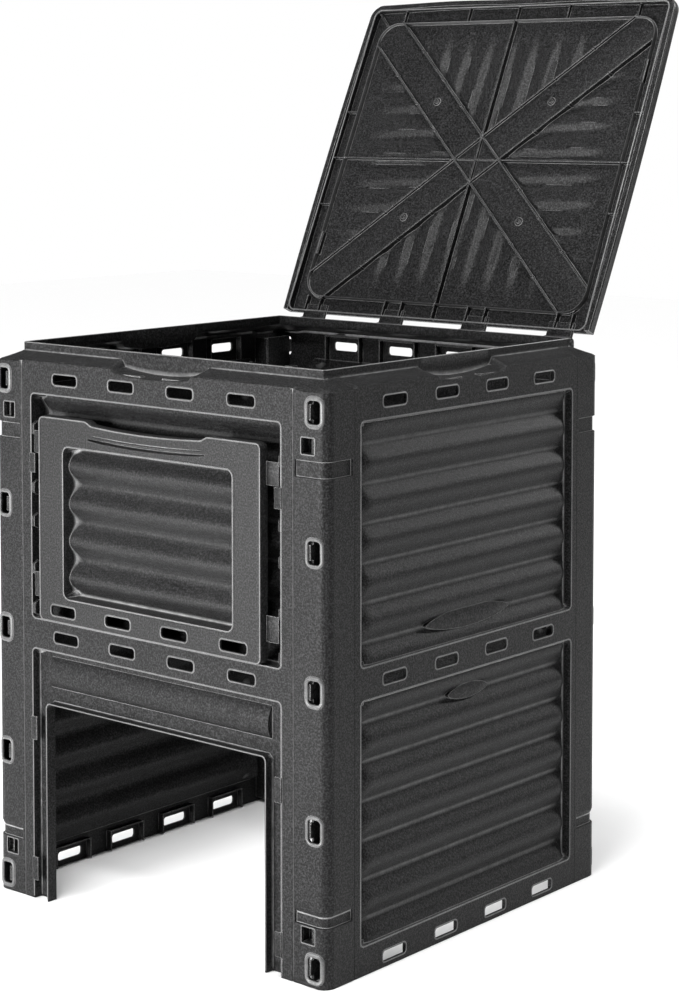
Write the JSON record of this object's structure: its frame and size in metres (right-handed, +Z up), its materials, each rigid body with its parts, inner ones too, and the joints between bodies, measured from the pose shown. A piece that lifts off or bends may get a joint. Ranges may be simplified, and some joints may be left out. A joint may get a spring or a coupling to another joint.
{
  "type": "compost bin",
  "caption": "Square upright compost bin with louvred panels, a tipped-back hinged lid, and a lift-off emptying door parked above its bottom arch.",
  "frame": {"origin": "centre of the bounding box on the ground, with the lid open and the door parked", "axes": "+Z up, -Y out of the front with the emptying door, +X to the right-hand side; the lid tips back towards +Y"},
  "size_m": [0.62, 0.8524, 1.2866],
  "materials": {
    "body_plastic": "fine moulded grain, dark grey to black",
    "door_plastic": "fine moulded grain, dark grey",
    "lid_plastic": "satin, near black",
    "pin_plastic": "satin, near black"
  },
  "bodies": {
    "bin": {"front_panel": "body_plastic", "back_panel": "body_plastic", "left_panel": "body_plastic", "right_panel": "body_plastic", "hinge_pin_1": "pin_plastic", "hinge_pin_2": "pin_plastic", "hinge_pin_3": "pin_plastic", "hinge_pin_4": "pin_plastic"},
    "lid": {"lid": "lid_plastic"},
    "door": {"emptying_door": "door_plastic"}
  },
  "joints": [
    {"name": "lid_hinge", "type": "hinge", "parent": "bin", "child": "lid", "pos_m": [0, 0.1723, 0.775], "axis": [1, 0, 0], "range_deg": [0, 115]},
    {"name": "door_lift_off", "type": "slide", "parent": "bin", "child": "door", "axis": [0, -1, 0], "range_m": [0, 0.08]}
  ]
}
